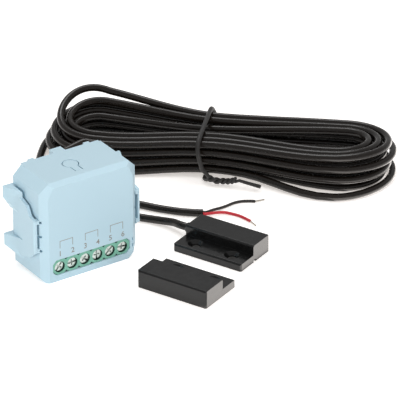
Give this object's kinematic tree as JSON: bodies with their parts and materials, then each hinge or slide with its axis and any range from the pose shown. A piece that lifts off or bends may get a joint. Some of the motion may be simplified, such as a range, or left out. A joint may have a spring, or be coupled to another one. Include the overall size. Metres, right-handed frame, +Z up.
{
  "type": "garage door controller",
  "caption": "Boxy relay module with screw terminals and a top button, a wired reed contact with its loose magnet block, and a tied hank of cable with bare cores.",
  "frame": {"origin": "middle of the module housing's lower face, in the plane that every piece lies on", "axes": "+X right along the module's front, +Y to its rear cover, +Z up towards its button"},
  "size_m": [0.1583, 0.1394, 0.0376],
  "materials": {
    "shell_plastic": "fine satin moulding",
    "terminal_plastic": "satin moulding",
    "screw_steel": "bright zinc plate",
    "cage_steel": "zinc plate",
    "bar_brass": "tinned brass strip",
    "board_laminate": "solder mask",
    "relay_plastic": "satin moulding",
    "coil_and_ferrite": "ferrite with taped winding",
    "capacitor_sleeve": "shrunk sleeve",
    "fuse_plastic": "moulded cap",
    "varistor_coating": "dipped coating",
    "radio_laminate": "solder mask",
    "shield_steel": "tinned sheet",
    "chip_plastic": "moulded resin",
    "led_plastic": "clear resin",
    "plunger_plastic": "satin moulding",
    "block_plastic": "glossy moulding",
    "gland_rubber": "moulded collar",
    "reed_glass": "drawn tube",
    "reed_steel": "plated strip",
    "magnet_iron": "ground ferrite",
    "cable_jacket": "soft satin jacket",
    "core_black": "soft insulation",
    "core_red": "soft insulation",
    "tinned_copper": "twisted strands",
    "tie_plastic": "coated wire"
  },
  "bodies": {
    "kit": {"front_shell": "shell_plastic", "rear_cover": "shell_plastic", "terminal_block": "terminal_plastic", "terminal_bars": "bar_brass", "main_board": "board_laminate", "relay": "relay_plastic", "supply_transformer": "coil_and_ferrite", "smoothing_capacitors": "capacitor_sleeve", "input_fuse": "fuse_plastic", "surge_varistor": "varistor_coating", "radio_board": "radio_laminate", "radio_shield": "shield_steel", "surface_chips": "chip_plastic", "push_switch": "chip_plastic", "status_led": "led_plastic", "contact_case": "block_plastic", "contact_base": "block_plastic", "contact_gland": "gland_rubber", "reed_glass": "reed_glass", "reed_blades": "reed_steel", "lead_to_contact": "cable_jacket", "cable_hank": "cable_jacket", "lead_free_end": "cable_jacket", "core_black": "core_black", "core_red": "core_red", "core_tips": "tinned_copper", "hank_tie": "tie_plastic"},
    "button": {"button_flap": "shell_plastic"},
    "plunger": {"switch_plunger": "plunger_plastic"},
    "magnet": {"magnet_case": "block_plastic", "magnet_base": "block_plastic", "bar_magnet": "magnet_iron"},
    "screw_1": {"terminal_screw_1": "screw_steel"},
    "cage_1": {"clamp_cage_1": "cage_steel"},
    "screw_2": {"terminal_screw_2": "screw_steel"},
    "cage_2": {"clamp_cage_2": "cage_steel"},
    "screw_3": {"terminal_screw_3": "screw_steel"},
    "cage_3": {"clamp_cage_3": "cage_steel"},
    "screw_4": {"terminal_screw_4": "screw_steel"},
    "cage_4": {"clamp_cage_4": "cage_steel"},
    "screw_5": {"terminal_screw_5": "screw_steel"},
    "cage_5": {"clamp_cage_5": "cage_steel"},
    "screw_6": {"terminal_screw_6": "screw_steel"},
    "cage_6": {"clamp_cage_6": "cage_steel"}
  },
  "joints": [
    {"name": "button_press", "type": "hinge", "parent": "kit", "child": "button", "pos_m": [-0.0017, -0.0051, 0.0364], "axis": [-1, 0, 0], "range_deg": [0, 3]},
    {"name": "switch_travel", "type": "slide", "parent": "kit", "child": "plunger", "axis": [0, 0, -1], "range_m": [0, 0.0003], "stiffness_N_per_m": 200},
    {"name": "magnet_travel", "type": "slide", "parent": "kit", "child": "magnet", "axis": [0.9205, 0.3907, 0], "range_m": [-0.03, 0.006]},
    {"name": "screw_turn_1", "type": "hinge", "parent": "kit", "child": "screw_1", "pos_m": [-0.0127, -0.0075, 0.00505], "axis": [0, 1, 0], "range_deg": [0, 1440]},
    {"name": "cage_rise_1", "type": "slide", "parent": "kit", "child": "cage_1", "axis": [0, -1, 0], "range_m": [0, 0.0018]},
    {"name": "screw_turn_2", "type": "hinge", "parent": "kit", "child": "screw_2", "pos_m": [-0.00762, -0.0075, 0.00505], "axis": [0, 1, 0], "range_deg": [0, 1440]},
    {"name": "cage_rise_2", "type": "slide", "parent": "kit", "child": "cage_2", "axis": [0, -1, 0], "range_m": [0, 0.0018]},
    {"name": "screw_turn_3", "type": "hinge", "parent": "kit", "child": "screw_3", "pos_m": [-0.00254, -0.0075, 0.00505], "axis": [0, 1, 0], "range_deg": [0, 1440]},
    {"name": "cage_rise_3", "type": "slide", "parent": "kit", "child": "cage_3", "axis": [0, -1, 0], "range_m": [0, 0.0018]},
    {"name": "screw_turn_4", "type": "hinge", "parent": "kit", "child": "screw_4", "pos_m": [0.00254, -0.0075, 0.00505], "axis": [0, 1, 0], "range_deg": [0, 1440]},
    {"name": "cage_rise_4", "type": "slide", "parent": "kit", "child": "cage_4", "axis": [0, -1, 0], "range_m": [0, 0.0018]},
    {"name": "screw_turn_5", "type": "hinge", "parent": "kit", "child": "screw_5", "pos_m": [0.00762, -0.0075, 0.00505], "axis": [0, 1, 0], "range_deg": [0, 1440]},
    {"name": "cage_rise_5", "type": "slide", "parent": "kit", "child": "cage_5", "axis": [0, -1, 0], "range_m": [0, 0.0018]},
    {"name": "screw_turn_6", "type": "hinge", "parent": "kit", "child": "screw_6", "pos_m": [0.0127, -0.0075, 0.00505], "axis": [0, 1, 0], "range_deg": [0, 1440]},
    {"name": "cage_rise_6", "type": "slide", "parent": "kit", "child": "cage_6", "axis": [0, -1, 0], "range_m": [0, 0.0018]}
  ],
  "couplings": [
    {"joint": "button_press", "follows": "switch_travel", "rad_per_m": 172.4},
    {"joint": "screw_turn_1", "follows": "cage_rise_1", "rad_per_m": 13960},
    {"joint": "screw_turn_2", "follows": "cage_rise_2", "rad_per_m": 13960},
    {"joint": "screw_turn_3", "follows": "cage_rise_3", "rad_per_m": 13960},
    {"joint": "screw_turn_4", "follows": "cage_rise_4", "rad_per_m": 13960},
    {"joint": "screw_turn_5", "follows": "cage_rise_5", "rad_per_m": 13960},
    {"joint": "screw_turn_6", "follows": "cage_rise_6", "rad_per_m": 13960}
  ]
}
